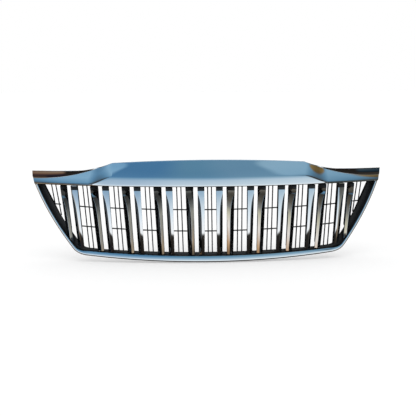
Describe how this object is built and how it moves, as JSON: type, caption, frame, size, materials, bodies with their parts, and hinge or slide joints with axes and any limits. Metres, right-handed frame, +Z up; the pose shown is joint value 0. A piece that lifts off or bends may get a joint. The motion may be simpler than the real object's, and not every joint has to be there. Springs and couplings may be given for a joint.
{
  "type": "front grille",
  "caption": "Bowed chrome front grille with a raised hood lip, split upright bars and black lattice bays on a black carrier.",
  "frame": {"origin": "top centre of the centre tab's bore, where the vehicle's bolt seats", "axes": "+X along the width, to the right as seen by someone facing the front; -Y is the front; +Z up along the bore"},
  "size_m": [1.062, 0.1678, 0.2955],
  "materials": {
    "bright_chrome": "mirror-bright plated moulding",
    "carrier_black": "fine grained",
    "cap_black": "satin",
    "screw_steel": "zinc plated",
    "bushing_steel": "zinc plated",
    "seal_rubber": "foamed",
    "retainer_black": "moulded nylon"
  },
  "bodies": {
    "grille": {"upper_moulding": "bright_chrome", "lower_rim": "bright_chrome", "carrier_frame": "carrier_black", "left_bar_1": "bright_chrome", "left_bar_2": "bright_chrome", "left_bar_3": "bright_chrome", "left_bar_4": "bright_chrome", "left_bar_5": "bright_chrome", "right_bar_1": "bright_chrome", "right_bar_2": "bright_chrome", "right_bar_3": "bright_chrome", "right_bar_4": "bright_chrome", "right_bar_5": "bright_chrome", "centre_lattice": "carrier_black", "left_lattice_1": "carrier_black", "left_lattice_2": "carrier_black", "left_lattice_3": "carrier_black", "left_lattice_4": "carrier_black", "right_lattice_1": "carrier_black", "right_lattice_2": "carrier_black", "right_lattice_3": "carrier_black", "right_lattice_4": "carrier_black", "left_end_lattice": "carrier_black", "right_end_lattice": "carrier_black", "bar_caps": "cap_black", "bar_screws": "screw_steel", "moulding_screws": "screw_steel", "rim_screws": "screw_steel", "tab_bushings": "bushing_steel", "hood_seal": "seal_rubber", "left_retainer_sleeve": "retainer_black", "right_retainer_sleeve": "retainer_black"},
    "left_pin": {"left_retainer_pin": "retainer_black"},
    "right_pin": {"right_retainer_pin": "retainer_black"}
  },
  "joints": [
    {"name": "left_pin_pull", "type": "slide", "parent": "grille", "child": "left_pin", "axis": [0, 0, 1], "range_m": [0, 0.008]},
    {"name": "right_pin_pull", "type": "slide", "parent": "grille", "child": "right_pin", "axis": [0, 0, 1], "range_m": [0, 0.008]}
  ]
}
